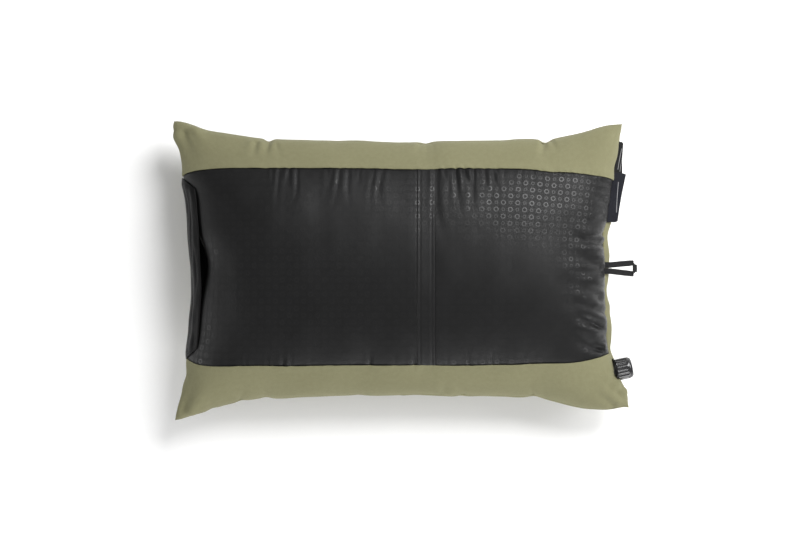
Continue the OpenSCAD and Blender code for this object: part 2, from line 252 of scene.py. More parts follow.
def relax(base, free, extra_x, extra_y, steps, hold, push, bend, seed, floor=None):
    """Lets the cloth's spare length buckle into folds while it stays over its stuffing."""
    groups = thread_groups(base, extra_x, extra_y)
    loose = free[..., None]
    out = normals_of(base)
    noise = patchy(base[..., 0], base[..., 1], 7, 7, seed)
    noise = noise + 0.6 * patchy(base[..., 0], base[..., 1], 3.5, 3.5, seed + 1)
    q = base + out * (0.25 * noise * free)[..., None]
    speed = np.zeros_like(q)
    turn_x = (base[:-2] + base[2:]) / 2 - base[1:-1]
    turn_y = (base[:, :-2] + base[:, 2:]) / 2 - base[:, 1:-1]
    for step in range(steps):
        before = q.copy()
        if step % 8 == 0:
            out = normals_of(q)
        q = q + loose * (0.9 * speed + hold[..., None] * (base - q) + push * out)
        for one, two, rest, stiffness in groups:
            pull_together(q, free, one, two, rest, stiffness)
        q[1:-1] += bend * loose[1:-1] * ((q[:-2] + q[2:]) / 2 - q[1:-1] - turn_x)
        q[:, 1:-1] += bend * loose[:, 1:-1] * ((q[:, :-2] + q[:, 2:]) / 2 - q[:, 1:-1] - turn_y)
        if floor is not None:
            q[..., 2] = np.maximum(q[..., 2], floor)
        speed = q - before
    return q


def folded(p, folds):
    """Presses creases into a surface: each runs from (x0, y0) to (x1, y1) and fades towards its far end."""
    out = normals_of(p)
    x, y = p[..., 0], p[..., 1]
    lift = np.zeros_like(x)
    for x0, y0, x1, y1, half, depth in folds:
        along_x, along_y = x1 - x0, y1 - y0
        length = math.hypot(along_x, along_y)
        t = ((x - x0) * along_x + (y - y0) * along_y) / length ** 2
        off = ((x - x0) * along_y - (y - y0) * along_x) / length
        off = off + 0.09 * length * patchy(t * 2.2, t * 0 + x0 + y0, 1, 1, 31) * np.clip(t, 0, 1)
        reach = np.clip((t + 0.06) / 0.12, 0, 1) * np.clip(1 - t, 0, 1) ** 1.3
        wide = half * (1 + 0.9 * np.clip(t, 0, 1))
        valley = hump(off, 0, 0.75 * wide)
        ridges = 0.6 * hump(off, 1.7 * wide, wide) + 0.4 * hump(off, -1.6 * wide, 0.9 * wide)
        lift += reach * depth * (ridges - valley)
    return p + out * lift[..., None]


def seam_gathers(seed, x_low, x_high, count, y, toward, longest, deepest):
    """Small gathers that start at a seam along the length and run a random way into the panel."""
    rng = np.random.default_rng(seed)
    folds = []
    for x in np.sort(rng.uniform(x_low, x_high, count)):
        size = rng.uniform(0.3, 1.0) ** 1.4
        length = 8 + longest * size
        drift = rng.uniform(-0.12, 0.12) * length
        half = rng.uniform(0.8, 1.2) + 0.9 * size
        depth = deepest * (0.35 + 0.65 * size)
        folds.append((x, y, x + drift, y + toward * length, half, depth))
    return folds


def end_gathers(seed, y_low, y_high, count, x, toward, longest, deepest):
    """Folds that start at a short side's seam and run slantwise into the panel."""
    rng = np.random.default_rng(seed)
    folds = []
    for k in range(count):
        y = y_low + (y_high - y_low) * (k + rng.uniform(0.2, 0.8)) / count
        size = rng.uniform(0.3, 1.0)
        length = 12 + longest * size
        tilt = rng.uniform(-0.55, 0.55) * length
        half = rng.uniform(1.6, 2.2) + 0.8 * size
        depth = deepest * (0.4 + 0.6 * size)
        folds.append((x, y, x + toward * length, y + tilt, half, depth))
    return folds


# ---- Grids of the two cover sheets ----

def zone_columns():
    """Column parameters of the back, with a column on every seam, and the seams' column numbers."""
    def profile(u):
        return 200 * u, BACK_RISE * crown(u, 0 * u)
    zones = [
        (-1, U_MOUTH, 16), (U_MOUTH, U_BAND_START, 140),
        (U_BAND_START, U_BAND_END, 10), (U_BAND_END, 1, 126),
    ]
    u = [np.array([-1.0])]
    marks = [0]
    for a, b, cells in zones:
        u.append(even_steps(profile, a, b, cells)[1:])
        marks.append(marks[-1] + cells)
    return np.concatenate(u), marks


BORDER_ROWS = 22
PANEL_ROWS = 96


def back_parameters():
    """u and v of the back's grid, columns first, with rows on both seams of the panel."""
    columns, marks = zone_columns()
    seam = np.arcsin(panel_seam_v(columns))[:, None]
    low_seam = np.arcsin(panel_seam_v(columns, LOW_SEAM_SHIFT))[:, None]
    border = np.linspace(0, 1, BORDER_ROWS + 1)[None, :]
    low = -math.pi / 2 + (math.pi / 2 - low_seam) * border
    panel = -low_seam + (seam + low_seam) * np.linspace(0, 1, PANEL_ROWS + 1)[None, :]
    high = math.pi / 2 - (math.pi / 2 - seam) * border[:, ::-1]
    v = np.sin(np.concatenate([low[:, :-1], panel, high[:, 1:]], 1))
    u = np.repeat(columns[:, None], v.shape[1], 1)
    return u, v, marks


BACK_U, BACK_V, COLUMN_MARKS = back_parameters()
ROW_MARKS = [0, BORDER_ROWS, BORDER_ROWS + PANEL_ROWS, 2 * BORDER_ROWS + PANEL_ROWS]
MOUTH_COLUMN, BAND_COLUMN, BAND_END_COLUMN = COLUMN_MARKS[1:4]

# Single creases of the back, pressed in after the cloth has settled: x0, y0, x1, y1, half width, depth
BACK_FOLDS = [
    (-113, 94, -118, 54, 1.6, 0.6), (-96, 94, -98, 52, 1.4, 0.5), (-56, 94, -60, 50, 1.8, 0.5),
    (-24, 94, -27, 52, 1.6, 0.5), (34, 94, 38, 20, 2.6, 1.0), (52, 94, 58, 44, 2.0, 1.1),
    (60, 94, 70, 50, 2.0, 1.1), (86, 92, 94, 58, 1.6, 0.7), (-136, 120, -139, 99, 2.8, 1.9),
    (-123, 121, -130, 102, 2.0, 1.0), (-117, 118, -113, 102, 2.2, 1.0), (20, 120, 11, 102, 2.2, 0.9),
    (30, 120, 34, 106, 1.6, 0.5), (137, 122, 130, 98, 2.6, 2.2), (143, 122, 151, 106, 2.0, 1.2),
    (62, -122, 48, -102, 2.2, 0.8), (128, -124, 120, -102, 2.6, 1.1), (-153, -128, -144, -106, 2.2, 0.8),
    (-206, 131, -195, 93, 5.6, 4.6), (-200, 130, -182, 108, 3.0, 1.4), (-207, -136, -190, -98, 4.4, 3.0),
    (214, -124, 180, -96, 3.6, 2.6), (205, -132, 178, -112, 3.2, 2.0), (209, -108, 188, -92, 2.6, 1.7),
    (206, 128, 186, 102, 3.0, 0.8), (206, -98, 195, -126, 2.4, 2.4), (213, -110, 202, -136, 2.6, 2.0),
    (40, -120, 46, -100, 4.0, 1.2), (191, 24, 154, 32, 3.6, 2.4), (191, 1, 156, 12, 4.0, 2.8),
    (191, -28, 160, -6, 4.8, 3.0), (191, -56, 154, -34, 4.4, 3.0), (192, -79, 162, -64, 3.6, 2.6),
]
BACK_FOLDS += seam_gathers(201, -120, -15, 19, 94, -1, 34, 0.55)
BACK_FOLDS += seam_gathers(202, 24, 104, 17, 94, -1, 40, 0.75)
BACK_FOLDS += seam_gathers(203, 108, 180, 9, 92, -1, 14, 0.4)
BACK_FOLDS += seam_gathers(204, -185, 185, 26, -92.5, 1, 14, 0.3)
BACK_FOLDS += end_gathers(205, -88, 52, 11, 194, -1, 26, 2.2)
BACK_FOLDS += end_gathers(206, 52, 84, 3, 198, -1, 22, 1.3)


def seam_distance(u, v):
    """Rough distance in from the perimeter seam, in millimetres."""
    off_v = (1 - np.abs(np.arcsin(np.clip(v, -1, 1))) / (math.pi / 2)) * 118
    off_u = (1 - np.abs(u)) * 400
    return np.minimum(off_v, off_u)


def back_sheet():
    u, v = BACK_U, BACK_V
    base = settled(layer(u, v, 0, BACK_RISE), u, v)
    x, y = base[..., 0], base[..., 1]
    seam_y = np.abs(v) / panel_seam_v(u) * PANEL_HALF_WIDTH
    inside = PANEL_HALF_WIDTH - seam_y
    panel = (inside > 0)
    upper = panel * (y > 0) * np.exp(-np.clip(inside, 0, None) / 26)
    lower = panel * (y < 0) * np.exp(-np.clip(inside, 0, None) / 12)
    gathers = 0.05 * window(x, -118, -20, 12) + 0.06 * window(x, 22, 100, 14) + 0.015
    patches = 0.75 + 0.6 * patchy(x, y, 16, 60, 5)
    extra_x = upper * gathers * patches + lower * 0.018 * patches
    end = np.exp(-np.clip(half_length(v) - np.abs(x), 0, None) / 20)
    extra_y = panel * end * np.where(x > 0, 0.07, 0.035) * (0.8 + 0.6 * patchy(x, y, 30, 14, 6))
    border = (inside <= 0)
    rim = np.exp(-seam_distance(u, v) / 9)
    extra_x += border * (0.022 * rim + 0.004) * (0.8 + 0.8 * patchy(x, y, 11, 40, 7))
    horn = np.exp(-((np.abs(x) - 206) ** 2 + (np.abs(y) - 126) ** 2) / 24 ** 2)
    extra_x += 0.03 * horn
    extra_y += 0.04 * horn
    for row in (ROW_MARKS[1], ROW_MARKS[2]):
        extra_x[:, row] = -0.012
    free = np.ones(u.shape)
    free[0], free[-1] = 0, 0
    free[:, 0], free[:, -1] = 0, 0
    hold = np.full(u.shape, 0.012)
    hold[:, ROW_MARKS[1]], hold[:, ROW_MARKS[2]] = 0.06, 0.06
    hold[BAND_COLUMN:BAND_END_COLUMN + 1, :] = np.maximum(hold[BAND_COLUMN:BAND_END_COLUMN + 1, :], 0.04)
    steps = 420
    q = relax(base, free, extra_x, extra_y, steps, hold, 0.012, 0.10, 21)
    inner = np.clip(seam_distance(u, v) / 25, 0, 1)
    broad = 0.45 * patchy(x, y, 34, 46, 15) + 0.3 * patchy(x, y, 15, 30, 16)
    broad = broad + 1.3 * patchy(x, y, 22, 14, 17) * np.clip((x - 130) / 50, 0, 1) * panel
    q = q + normals_of(q) * (broad * inner)[..., None]
    return folded(q, BACK_FOLDS)


def front_grid():
    columns = even_steps(lambda u: (200 * u, FRONT_DROP * crown(u, 0 * u)), -1, 1, 190)
    angles = np.linspace(-math.pi / 2, math.pi / 2, 111)
    v = np.repeat(np.sin(angles)[None, :], len(columns), 0)
    u = np.repeat(columns[:, None], v.shape[1], 1)
    return u, v


# The same for the sleeping side
FRONT_FOLDS = [
    (-150, 60, -190, 96, 4, 1.0), (140, 62, 184, 100, 4, 1.0), (-148, -64, -188, -98, 4, 1.0),
    (146, -60, 186, -96, 4, 1.0), (-60, 96, -56, 70, 3.5, 0.7), (48, 98, 44, 72, 3.5, 0.7),
    (-20, -98, -24, -70, 3.5, 0.7), (92, -98, 88, -74, 3, 0.6), (176, 30, 150, 22, 3.5, 0.7),
    (-176, -20, -152, -16, 3.5, 0.7),
]


def front_sheet():
    u, v = front_grid()
    base = settled(layer(u, v, 0, -FRONT_DROP), u, v)
    depth = SEAM_HEIGHT - base[..., 2]
    side = np.clip(depth / 22, 0, 1)
    scallop = 1 + 0.35 * patchy(v * 118, u, 11, 5, 19)
    bulge = 4 * side * (1 - side) * np.where(u > 0, 2.8 + 4.6 * window(v * 118, -80, 50, 20), 2.4) * scallop
    at_end = np.clip((np.abs(u) - 0.9) / 0.1, 0, 1)
    base[..., 0] += np.sign(u) * bulge * at_end
    base[..., 1] += np.sign(v) * bulge * np.clip((np.abs(v) - 0.85) / 0.15, 0, 1)
    base[..., 2] = np.maximum(base[..., 2], 0.3)
    x, y = base[..., 0], base[..., 1]
    rim = np.exp(-depth / 16)
    extra_x = 0.05 * rim * np.clip((np.abs(v) - 0.6) / 0.4, 0, 1) * (0.8 + 0.8 * patchy(x, y, 13, 60, 8))
    extra_y = 0.06 * rim * at_end * (0.8 + 0.8 * patchy(x, y, 60, 13, 9))
    horn = np.exp(-((np.abs(x) - 206) ** 2 + (np.abs(y) - 126) ** 2) / 26 ** 2)
    extra_x += 0.03 * horn
    extra_y += 0.03 * horn
    free = np.ones(u.shape)
    free[0], free[-1] = 0, 0
    free[:, 0], free[:, -1] = 0, 0
    hold = np.full(u.shape, 0.012)
    steps = 300
    q = relax(base, free, extra_x, extra_y, steps, hold, -0.012, 0.10, 23, floor=0.3)
    q = folded(q, [(a, b, c, d, half, -depth_) for a, b, c, d, half, depth_ in FRONT_FOLDS])
    q[..., 2] = np.maximum(q[..., 2], 0.3)
    return q


# ---- Meshes ----

def grid_mesh(name, points, cloth, flip=False):
    """A mesh of quads through a grid of points in millimetres, with each point's place on the flat cloth."""
    rows, cols = points.shape[:2]
    index = np.arange(rows * cols).reshape(rows, cols)
    faces = np.stack([index[:-1, :-1], index[1:, :-1], index[1:, 1:], index[:-1, 1:]], -1).reshape(-1, 4)
    if flip:
        faces = faces[:, ::-1]
    mesh = bpy.data.meshes.new(name)
    mesh.from_pydata((points.reshape(-1, 3) * MM).tolist(), [], faces.tolist())
    place = mesh.attributes.new("cloth", "FLOAT_VECTOR", "POINT")
    flat = np.zeros((rows * cols, 3), np.float32)
    flat[:, :cloth.shape[-1]] = cloth.reshape(rows * cols, -1) * MM
    place.data.foreach_set("vector", flat.ravel())
    mesh.polygons.foreach_set("use_smooth", [True] * len(mesh.polygons))
    return mesh


def added(name, mesh, material, body="pillow", replaces=(), ride=True):
    obj = bpy.data.objects.new("fine_" + name, mesh)
    bpy.context.scene.collection.objects.link(obj)
    mesh.materials.append(material)
    if ride:
        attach(obj, body)
    if replaces:
        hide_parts(*replaces)
    return obj


def thicken(obj, thickness, offset=-1.0, levels=1):
    solid = obj.modifiers.new("thickness", "SOLIDIFY")
    solid.thickness = thickness * MM
    solid.offset = offset
    solid.use_even_offset = False
    if levels:
        smooth = obj.modifiers.new("smooth", "SUBSURF")
        smooth.levels = levels
        smooth.render_levels = levels


def weld_ends(obj, distance):
    """Joins the points where a closed sheet's first and last rows meet."""
    weld = obj.modifiers.new("weld", "WELD")
    weld.merge_threshold = distance


def flat_lengths(points):
    """Distances along the middle row and middle column of a grid, centred: the cloth's own coordinates."""
    rows, cols = points.shape[:2]

    def run(line):
        way = np.concatenate([[0], np.cumsum(np.linalg.norm(np.diff(line, axis=0), axis=1))])
        return way - way[-1] / 2
    a = run(points[:, cols // 2])
    b = run(points[rows // 2])
    return np.stack(np.meshgrid(a, b, indexing="ij"), -1)


# ---- Materials ----

def plug(tree, socket, value):
    if isinstance(value, bpy.types.NodeSocket):
        tree.links.new(value, socket)
    else:
        socket.default_value = value


class Look:
    """A procedural material and short ways to add its nodes."""

    def __init__(self, name, **shader):
        self.material = bpy.data.materials.new(name)
        self.material.use_nodes = True
        self.tree = self.material.node_tree
        self.shader = self.tree.nodes["Principled BSDF"]
        for key, value in shader.items():
            self.shader.inputs[key.replace("_", " ")].default_value = value

    def add(self, kind, inputs=(), **settings):
        node = self.tree.nodes.new(kind)
        for key, value in settings.items():
            setattr(node, key, value)
        for socket, value in dict(inputs).items():
            plug(self.tree, node.inputs[socket], value)
        return node

    def math(self, operation, a, b=0.0):
        node = self.add("ShaderNodeMath", {0: a, 1: b}, operation=operation)
        return node.outputs[0]

    def cloth(self):
        return self.add("ShaderNodeAttribute", attribute_name="cloth").outputs["Vector"]

    def place(self):
        return self.add("ShaderNodeTexCoord").outputs["Object"]

    def noise(self, vector, scale, detail=3.0, rough=0.55):
        inputs = {"Vector": vector, "Scale": scale, "Detail": detail, "Roughness": rough}
        return self.add("ShaderNodeTexNoise", inputs).outputs["Fac"]

    def stretch(self, vector, x, y, z=1.0):
        node = self.add("ShaderNodeMapping", {"Vector": vector, "Scale": (x, y, z)})
        return node.outputs["Vector"]

    def split(self, vector):
        return self.add("ShaderNodeSeparateXYZ", {"Vector": vector}).outputs

    def ramp(self, value, low, high, out_low=0.0, out_high=1.0):
        node = self.add("ShaderNodeMapRange", {0: value, 1: low, 2: high, 3: out_low, 4: out_high})
        node.interpolation_type = "SMOOTHSTEP"
        return node.outputs[0]

    def mix(self, factor, a, b):
        node = self.add("ShaderNodeMix", data_type="RGBA")
        plug(self.tree, node.inputs[0], factor)
        plug(self.tree, node.inputs[6], a)
        plug(self.tree, node.inputs[7], b)
        return node.outputs[2]

    def bump(self, height, distance, strength=1.0, under=None):
        node = self.add("ShaderNodeBump", {"Height": height, "Distance": distance, "Strength": strength})
        if under is not None:
            plug(self.tree, node.inputs["Normal"], under)
        return node.outputs["Normal"]

    def finish(self, colour=None, rough=None, normal=None):
        for socket, value in (("Base Color", colour), ("Roughness", rough), ("Normal", normal)):
            if value is not None:
                plug(self.tree, self.shader.inputs[socket], value)
        return self.material


def shade(red, green, blue):
    return (red, green, blue, 1.0)


def weave_height(look, place, pitch):
    """Plain weave: threads that pass over and under each other."""
    parts = look.split(place)
    turn = 2 * math.pi / pitch
    a = look.math("SINE", look.math("MULTIPLY", parts[0], turn))
    b = look.math("SINE", look.math("MULTIPLY", parts[1], turn))
    return look.math("MULTIPLY", a, b)


def olive_knit():
    look = Look("olive_brushed_knit", Sheen_Weight=0.12, Sheen_Roughness=0.45, Specular_IOR_Level=0.15)
    look.shader.inputs["Sheen Tint"].default_value = shade(0.80, 0.79, 0.62)
    place = look.cloth()
    broad = look.noise(place, 22, 3)
    mottle = look.noise(place, 260, 4, 0.65)
    fuzz = look.noise(look.stretch(place, 1, 0.45), 1900, 3, 0.7)
    tone = look.math("ADD", look.math("MULTIPLY", broad, 0.45), look.math("MULTIPLY", mottle, 0.55))
    colour = look.mix(look.ramp(tone, 0.34, 0.68), shade(0.158, 0.152, 0.085), shade(0.178, 0.172, 0.098))
    colour = look.mix(look.ramp(fuzz, 0.42, 0.7, 0.0, 0.2), colour, shade(0.24, 0.235, 0.15))
    rib = weave_height(look, place, 0.0011)
    normal = look.bump(fuzz, 0.00022, 0.7)
    normal = look.bump(rib, 0.00007, 0.6, normal)
    return look.finish(colour, look.ramp(fuzz, 0.3, 0.7, 0.82, 0.96), normal)


def print_mask(look, place):
    """A generic lattice print: thin rings alternate with smaller, fainter ones."""
    parts = look.split(place)
    x = look.math("DIVIDE", parts[0], PRINT_PITCH * MM)
    y = look.math("DIVIDE", parts[1], PRINT_PITCH * MM)
    cell_x, cell_y = look.math("FLOOR", x), look.math("FLOOR", y)
    in_x = look.math("SUBTRACT", look.math("SUBTRACT", x, cell_x), 0.5)
    in_y = look.math("SUBTRACT", look.math("SUBTRACT", y, cell_y), 0.5)
    squares = look.math("ADD", look.math("MULTIPLY", in_x, in_x), look.math("MULTIPLY", in_y, in_y))
    radius = look.math("SQRT", squares)
    ring_off = look.math("ABSOLUTE", look.math("SUBTRACT", radius, 0.29))
    ring = look.ramp(ring_off, 0.05, 0.09, 1.0, 0.0)
    small_off = look.math("ABSOLUTE", look.math("SUBTRACT", radius, 0.2))
    small = look.math("MULTIPLY", look.ramp(small_off, 0.04, 0.08, 1.0, 0.0), 0.6)
    odd = look.math("PINGPONG", look.math("ADD", cell_x, cell_y), 1.0)
    kept_ring = look.math("MULTIPLY", ring, odd)
    kept_small = look.math("MULTIPLY", small, look.math("SUBTRACT", 1.0, odd))
    return look.math("ADD", kept_ring, kept_small)


def black_woven(name="black_woven_print", printed=True, lift=1.0, shine=0.17):
    """Satin-faced black weave; the print is a clear ink that only shows where light glances off it. Lift
    scales the weave's colour: above 1 it paints light onto a copy, below 1 it paints shade.
    """
    look = Look(name, Sheen_Weight=0.0, Sheen_Roughness=0.35, Specular_IOR_Level=shine, Coat_Roughness=0.25)
    place = look.cloth()
    broad = look.noise(place, 30, 3)
    fine = look.noise(place, 900, 3, 0.6)
    tone = look.math("ADD", look.math("MULTIPLY", broad, 0.7), look.math("MULTIPLY", fine, 0.3))
    # lift brightens or darkens the colour: painted light above 1, painted shade below 1
    low, high = 0.0058 * lift, 0.0085 * lift
    dark, pale = shade(low, low, low * 1.02), shade(high, high, high * 1.02)
    colour = look.mix(look.ramp(tone, 0.35, 0.65), dark, pale)
    rough = look.ramp(tone, 0.3, 0.7, 0.44, 0.36)
    normal = look.bump(weave_height(look, place, 0.00052), 0.00005, 0.5)
    if printed:
        mask = print_mask(look, place)
        colour = look.mix(look.math("MULTIPLY", mask, 0.06), colour, shade(0.012, 0.012, 0.0124))
        plug(look.tree, look.shader.inputs["Coat Weight"], look.math("MULTIPLY", mask, 0.3))
    normal = look.bump(fine, 0.00006, 0.4, normal)
    return look.finish(colour, rough, normal)


def webbing_look():
    look = Look("black_webbing", Sheen_Weight=0.03, Sheen_Roughness=0.4, Specular_IOR_Level=0.2)
    place = look.cloth()
    parts = look.split(place)
    rib = look.math("SINE", look.math("MULTIPLY", parts[0], 2 * math.pi / 0.0009))
    cross = look.math("SINE", look.math("MULTIPLY", parts[1], 2 * math.pi / 0.0006))
    height = look.math("ADD", rib, look.math("MULTIPLY", cross, 0.5))
    tone = look.noise(place, 500, 3)
    colour = look.mix(look.ramp(tone, 0.35, 0.65), shade(0.009, 0.009, 0.0095), shade(0.016, 0.016, 0.017))
    return look.finish(colour, 0.62, look.bump(height, 0.00012, 0.8))


def label_look(name, colour_low, colour_high, bars):
    """Woven label tape; bars are plain light stripes: (from, to) across it, in millimetres."""
    look = Look(name, Specular_IOR_Level=0.16)
    place = look.cloth()
    parts = look.split(place)
    tone = look.noise(place, 700, 3)
    colour = look.mix(look.ramp(tone, 0.35, 0.65), shade(*colour_low), shade(*colour_high))
    for low, high, start, end in bars:
        across = look.ramp(parts[0], (low - 0.12) * MM, low * MM)
        past = look.ramp(parts[0], high * MM, (high + 0.12) * MM, 1.0, 0.0)
        begin = look.ramp(parts[1], (start - 0.4) * MM, start * MM)
        stop = look.ramp(parts[1], end * MM, (end + 0.4) * MM, 1.0, 0.0)
        bar = look.math("MULTIPLY", look.math("MULTIPLY", across, past), look.math("MULTIPLY", begin, stop))
        colour = look.mix(look.math("MULTIPLY", bar, 0.75), colour, shade(0.30, 0.30, 0.31))
    weave = weave_height(look, place, 0.0004)
    return look.finish(colour, 0.5, look.bump(weave, 0.00005, 0.6))


def plastic_look(name, low, high, rough, spec=0.5):
    look = Look(name, Specular_IOR_Level=spec)
    place = look.place()
    grain = look.noise(place, 2600, 2)
    smudge = look.noise(place, 120, 4)
    colour = look.mix(look.ramp(smudge, 0.35, 0.7), shade(*low), shade(*high))
    roughness = look.ramp(smudge, 0.3, 0.7, rough, rough + 0.1)
    return look.finish(colour, roughness, look.bump(grain, 0.00003, 0.35))


def film_look():
    look = Look("coated_film", Specular_IOR_Level=0.5, Sheen_Weight=0.1)
    place = look.place()
    cloud = look.noise(place, 40, 4)
    fine = look.noise(place, 1500, 2)
    colour = look.mix(look.ramp(cloud, 0.35, 0.7), shade(0.40, 0.42, 0.40), shade(0.52, 0.54, 0.51))
    normal = look.bump(cloud, 0.001, 0.35)
    normal = look.bump(fine, 0.00004, 0.4, normal)
    return look.finish(colour, look.ramp(cloud, 0.3, 0.7, 0.34, 0.48), normal)


def foam_look():
    look = Look("open_cell_foam", Specular_IOR_Level=0.2)
    place = look.place()
    cells = look.add("ShaderNodeTexVoronoi", {"Vector": place, "Scale": 900.0}).outputs["Distance"]
    broad = look.noise(place, 60, 3)
    colour = look.mix(look.ramp(broad, 0.35, 0.65), shade(0.60, 0.54, 0.30), shade(0.72, 0.66, 0.40))
    # Darker towards each cell's hollow, where the bump is lowest: painted shade in the foam's pores
    colour = look.mix(look.ramp(cells, 0.0, 0.45, 0.35, 0.0), colour, shade(0.34, 0.30, 0.16))
    return look.finish(colour, 0.95, look.bump(cells, 0.0006, 0.8))


def rubber_look():
    look = Look("seal_rubber", Specular_IOR_Level=0.4)
    dust = look.noise(look.place(), 900, 3)
    colour = look.mix(look.ramp(dust, 0.4, 0.75), shade(0.030, 0.034, 0.040), shade(0.055, 0.060, 0.068))
    return look.finish(colour, look.ramp(dust, 0.3, 0.7, 0.5, 0.65), look.bump(dust, 0.00003, 0.5))


def floor_look():
    look = Look("floor_paper", Specular_IOR_Level=0.1)
    tooth = look.noise(look.place(), 300, 3)
    colour = look.mix(tooth, shade(0.92, 0.92, 0.92), shade(0.94, 0.94, 0.94))
    return look.finish(colour, 0.9, look.bump(tooth, 0.0001, 0.1))


OLIVE = olive_knit()
BLACK = black_woven()
# The seam band's copy of the weave is a quarter lighter: painted light for the band's lighter look
BLACK_BAND_PAINTED_LIGHT = black_woven("black_woven_band_painted_light", True, 1.25)
# Unprinted copy of the weave, a tenth darker: the darkening is painted shade for the pocket's inside and the
# valve patch
BLACK_PLAIN_PAINTED_SHADE = black_woven("black_woven_plain_painted_shade", False, 0.9)
# Unprinted, less shiny copy of the weave, a fifth darker: the darkening is painted shade on the flap
BLACK_FLAP_PAINTED_SHADE = black_woven("black_woven_flap_painted_shade", False, 0.8, 0.08)
WEBBING = webbing_look()
FILM = film_look()
FOAM = foam_look()
RUBBER = rubber_look()
KNOB = plastic_look("knob_plastic", (0.010, 0.010, 0.011), (0.016, 0.016, 0.017), 0.2, 0.6)
VALVE = plastic_look("valve_plastic", (0.016, 0.016, 0.017), (0.024, 0.024, 0.025), 0.35)


# ---- Cover pieces ----

def lifted(points, out, amount):
    return points + out * np.asarray(amount)[..., None]


def cut(points, out, cloth, columns, rows):
    a = (slice(*columns), slice(*rows))
    return points[a].copy(), out[a], cloth[a]


def opened(p):
    """The free edge of the sack's outer wall hangs a little open under the flap."""
    steps = np.arange(p.shape[0])[:, None]
    middle = hump(p[..., 1], 4, 23)
    whole = np.clip(1 - (np.abs(p[..., 1]) / 84) ** 4, 0, 1)
    p = p.copy()
    p[..., 0] += 9.0 * middle * np.exp(-steps / 7.0)
    p[..., 2] -= (4.0 * middle + 1.6 * whole) * np.exp(-steps / 9.0)
    return p


def run_to_seam(grid, y):
    """Near its two ends the sack's outer wall runs on to the perimeter seam, under the flap."""
    reach, last = 30, MOUTH_COLUMN + 30
    columns = np.arange(MOUTH_COLUMN, last)
    out = grid.copy()
    for row in range(grid.shape[1]):
        near = np.clip((abs(y[row]) - 77) / 8, 0, 1)
        start = MOUTH_COLUMN - (MOUTH_COLUMN - 1) * near * near * (3 - 2 * near)
        place = last - (last - columns) * (last - start) / reach
        left = np.floor(place).astype(int)
        part = (place - left)[:, None]
        out[columns, row] = grid[left, row] * (1 - part) + grid[left + 1, row] * part
    return out


def build_back(points):
    out = normals_of(points)
    cloth = flat_lengths(points)
    low, high = ROW_MARKS[1], ROW_MARKS[2]
    last = points.shape[0]

    def border(name, rows, edge_row):
        """An olive strip: its inner edge is turned under and lies on the black panel."""
        p, n, c = cut(points, out, cloth, (0, last), rows)
        row = np.arange(*rows)[None, :]
        into = (edge_row - row) * (1 if name.endswith("upper") else -1)
        height = np.select([into == 1, into == 0, into == -1, into == -2], [1.05, 1.45, 0.8, 0.2], 0.0)
        wave = 1 + 0.25 * patchy(p[..., 0], p[..., 1], 6, 30, 41)
        mesh = grid_mesh(name, lifted(p, n, height * wave), c)
        obj = added(name, mesh, OLIVE, replaces=[name])
        thicken(obj, COVER)

    border("back_border_lower", (0, low + 2), low)
    border("back_border_upper", (high - 1, points.shape[1]), high)

    def panel(name, columns, mouth=False):
        grids = (points, out, cloth)
        if mouth:
            y = points[MOUTH_COLUMN, :, 1]
            grids = [run_to_seam(grid, y) for grid in grids]
        p, n, c = cut(*grids, columns, (low, high + 1))
        sink = np.zeros(p.shape[:2])
        sink[:, 0] -= 0.3
        sink[:, -1] -= 0.3
        if mouth:
            p = opened(p)
        obj = added(name, grid_mesh(name, lifted(p, n, sink), c), BLACK, replaces=[name])
        thicken(obj, COVER)

    panel("sack_outer_panel", (MOUTH_COLUMN, BAND_COLUMN + 1), True)
    panel("back_panel", (BAND_END_COLUMN, last))
    p, n, c = cut(points, out, cloth, (BAND_COLUMN - 1, BAND_END_COLUMN + 2), (low, high + 1))
    height = np.full(p.shape[:2], 0.9)
    height[0], height[-1] = 0.55, 0.55
    height[2], height[-3] = 0.55, 0.55
    height[:, 0] -= 0.6
    height[:, -1] -= 0.6
    mesh = grid_mesh("sack_seam_band", lifted(p, n, height), c)
    band = added("sack_seam_band", mesh, BLACK_BAND_PAINTED_LIGHT, replaces=["sack_seam_band"])
    thicken(band, COVER)


build_back(back_sheet())


def build_front():
    points = front_sheet()
    cloth = flat_lengths(points)
    mesh = grid_mesh("front_panel", points, cloth, flip=True)
    obj = added("front_panel", mesh, OLIVE, replaces=["front_panel"])
    thicken(obj, COVER)


build_front()


def build_inner_wall():
    columns, _ = zone_columns()
    columns = columns[:BAND_COLUMN + 1:2]
    s = np.linspace(-1, 1, 61)[None, :]
    u = np.repeat(columns[:, None], 61, 1)
    v = s * panel_seam_v(u) * np.where(s < 0, 0.955, 0.98)
    p = layer(u, v, COVER + 0.2, BACK_RISE - 1.4)
    p[..., 2] -= pocket_drop(u, v) * crown(u, v)
    p[..., 2] -= 0.5 * (1 + patchy(p[..., 0], p[..., 1], 24, 24, 51)) * np.clip((1 - np.abs(s)) * 4, 0, 1)
    name = "sack_inner_panel"
    obj = added(name, grid_mesh(name, p, flat_lengths(p)), BLACK_PLAIN_PAINTED_SHADE, replaces=[name])
    thicken(obj, 0.8, levels=0)


build_inner_wall()


